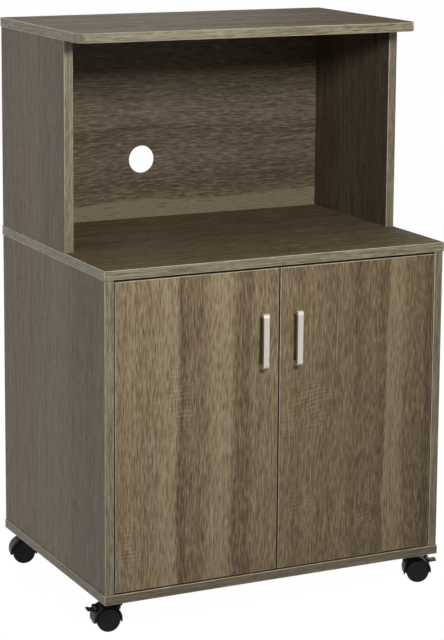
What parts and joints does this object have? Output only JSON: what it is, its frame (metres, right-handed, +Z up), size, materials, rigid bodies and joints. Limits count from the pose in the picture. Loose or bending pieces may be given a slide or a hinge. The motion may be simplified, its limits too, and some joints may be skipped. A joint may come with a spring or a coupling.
{
  "type": "microwave cart",
  "caption": "Rolling kitchen cabinet with two inset doors, an adjustable shelf and an open hutch for a microwave, on hooded twin-wheel swivel casters with brake tabs.",
  "frame": {"origin": "on the floor, under the middle of the whole cart", "axes": "+X to the cart's right seen from the front, -Y to the front, +Z up"},
  "size_m": [0.6687, 0.48, 0.99],
  "materials": {
    "oak_laminate": "matt grey-brown oak melamine",
    "door_laminate": "matt grey-brown oak melamine, upright cathedral grain",
    "hardboard": "foil-faced hardboard, grain across",
    "satin_nickel": "satin nickel",
    "zinc_steel": "zinc plated",
    "brown_plastic": "moulded brown plastic",
    "beech": "bare beech",
    "hood_nylon": "moulded black nylon",
    "wheel_nylon": "moulded black nylon, satin tread"
  },
  "bodies": {
    "cabinet": {"hutch_top": "oak_laminate", "hutch_side_left": "oak_laminate", "hutch_side_right": "oak_laminate", "hutch_back": "hardboard", "counter": "oak_laminate", "cabinet_side_left": "oak_laminate", "cabinet_side_right": "oak_laminate", "bottom_panel": "oak_laminate", "cabinet_back": "hardboard", "shelf": "oak_laminate", "shelf_pins": "zinc_steel", "dowels": "beech", "cam_locks": "zinc_steel", "cam_bolts": "zinc_steel", "cam_caps": "brown_plastic", "hutch_screws": "zinc_steel", "hinge_arm_left_upper": "zinc_steel", "hinge_arm_left_lower": "zinc_steel", "hinge_arm_right_upper": "zinc_steel", "hinge_arm_right_lower": "zinc_steel", "hinge_plates": "zinc_steel", "hinge_plate_screws": "zinc_steel", "caster_plate_front_left": "zinc_steel", "caster_plate_front_right": "zinc_steel", "caster_plate_rear_left": "zinc_steel", "caster_plate_rear_right": "zinc_steel", "caster_kingpins": "zinc_steel", "caster_screws": "zinc_steel"},
    "left_door": {"door_left": "door_laminate", "pull_left": "satin_nickel", "pull_screws_left": "zinc_steel", "hinge_pins_left": "zinc_steel", "hinge_cup_screws_left": "zinc_steel", "hinge_cup_left_upper": "zinc_steel", "hinge_cup_left_lower": "zinc_steel"},
    "right_door": {"door_right": "door_laminate", "pull_right": "satin_nickel", "pull_screws_right": "zinc_steel", "hinge_pins_right": "zinc_steel", "hinge_cup_screws_right": "zinc_steel", "hinge_cup_right_upper": "zinc_steel", "hinge_cup_right_lower": "zinc_steel"},
    "front_left_fork": {"caster_hood_front_left": "hood_nylon", "caster_axle_front_left": "zinc_steel"},
    "front_left_wheel_a": {"caster_wheel_a_front_left": "wheel_nylon"},
    "front_left_wheel_b": {"caster_wheel_b_front_left": "wheel_nylon"},
    "brake_left": {"brake_lever_left": "hood_nylon"},
    "front_right_fork": {"caster_hood_front_right": "hood_nylon", "caster_axle_front_right": "zinc_steel"},
    "front_right_wheel_a": {"caster_wheel_a_front_right": "wheel_nylon"},
    "front_right_wheel_b": {"caster_wheel_b_front_right": "wheel_nylon"},
    "brake_right": {"brake_lever_right": "hood_nylon"},
    "rear_left_fork": {"caster_hood_rear_left": "hood_nylon", "caster_axle_rear_left": "zinc_steel"},
    "rear_left_wheel_a": {"caster_wheel_a_rear_left": "wheel_nylon"},
    "rear_left_wheel_b": {"caster_wheel_b_rear_left": "wheel_nylon"},
    "rear_right_fork": {"caster_hood_rear_right": "hood_nylon", "caster_axle_rear_right": "zinc_steel"},
    "rear_right_wheel_a": {"caster_wheel_a_rear_right": "wheel_nylon"},
    "rear_right_wheel_b": {"caster_wheel_b_rear_right": "wheel_nylon"}
  },
  "joints": [
    {"name": "left_door_hinge", "type": "hinge", "parent": "cabinet", "child": "left_door", "pos_m": [-0.2885, -0.2164, 0.335], "axis": [0, 0, -1], "range_deg": [0, 95]},
    {"name": "right_door_hinge", "type": "hinge", "parent": "cabinet", "child": "right_door", "pos_m": [0.2885, -0.2164, 0.335], "axis": [0, 0, 1], "range_deg": [0, 95]},
    {"name": "front_left_swivel", "type": "hinge", "parent": "cabinet", "child": "front_left_fork", "pos_m": [-0.286, -0.185, 0.049], "axis": [0, 0, 1], "continuous": true},
    {"name": "front_left_wheel_a_spin", "type": "hinge", "parent": "front_left_fork", "child": "front_left_wheel_a", "pos_m": [-0.30149, -0.19464, 0.02], "axis": [-0.1392, -0.9903, 0], "continuous": true},
    {"name": "front_left_wheel_b_spin", "type": "hinge", "parent": "front_left_fork", "child": "front_left_wheel_b", "pos_m": [-0.29823, -0.17147, 0.02], "axis": [-0.1392, -0.9903, 0], "continuous": true},
    {"name": "brake_left_press", "type": "hinge", "parent": "front_left_fork", "child": "brake_left", "pos_m": [-0.31828, -0.18046, 0.0372], "axis": [-0.1392, -0.9903, 0], "range_deg": [0, 22]},
    {"name": "front_right_swivel", "type": "hinge", "parent": "cabinet", "child": "front_right_fork", "pos_m": [0.286, -0.185, 0.049], "axis": [0, 0, 1], "continuous": true},
    {"name": "front_right_wheel_a_spin", "type": "hinge", "parent": "front_right_fork", "child": "front_right_wheel_a", "pos_m": [0.30346, -0.1797, 0.02], "axis": [0.3907, 0.9205, 0], "continuous": true},
    {"name": "front_right_wheel_b_spin", "type": "hinge", "parent": "front_right_fork", "child": "front_right_wheel_b", "pos_m": [0.29432, -0.20124, 0.02], "axis": [0.3907, 0.9205, 0], "continuous": true},
    {"name": "brake_right_press", "type": "hinge", "parent": "front_right_fork", "child": "brake_right", "pos_m": [0.31601, -0.19774, 0.0372], "axis": [0.3907, 0.9205, 0], "range_deg": [0, 22]},
    {"name": "rear_left_swivel", "type": "hinge", "parent": "cabinet", "child": "rear_left_fork", "pos_m": [-0.286, 0.2, 0.049], "axis": [0, 0, 1], "continuous": true},
    {"name": "rear_left_wheel_a_spin", "type": "hinge", "parent": "rear_left_fork", "child": "rear_left_wheel_a", "pos_m": [-0.30241, 0.19203, 0.02], "axis": [-0.2419, -0.9703, 0], "continuous": true},
    {"name": "rear_left_wheel_b_spin", "type": "hinge", "parent": "rear_left_fork", "child": "rear_left_wheel_b", "pos_m": [-0.29675, 0.21474, 0.02], "axis": [-0.2419, -0.9703, 0], "continuous": true},
    {"name": "rear_right_swivel", "type": "hinge", "parent": "cabinet", "child": "rear_right_fork", "pos_m": [0.286, 0.2, 0.049], "axis": [0, 0, 1], "continuous": true},
    {"name": "rear_right_wheel_a_spin", "type": "hinge", "parent": "rear_right_fork", "child": "rear_right_wheel_a", "pos_m": [0.29076, 0.21761, 0.02], "axis": [-0.5736, 0.8192, 0], "continuous": true},
    {"name": "rear_right_wheel_b_spin", "type": "hinge", "parent": "rear_right_fork", "child": "rear_right_wheel_b", "pos_m": [0.30418, 0.19845, 0.02], "axis": [-0.5736, 0.8192, 0], "continuous": true}
  ]
}
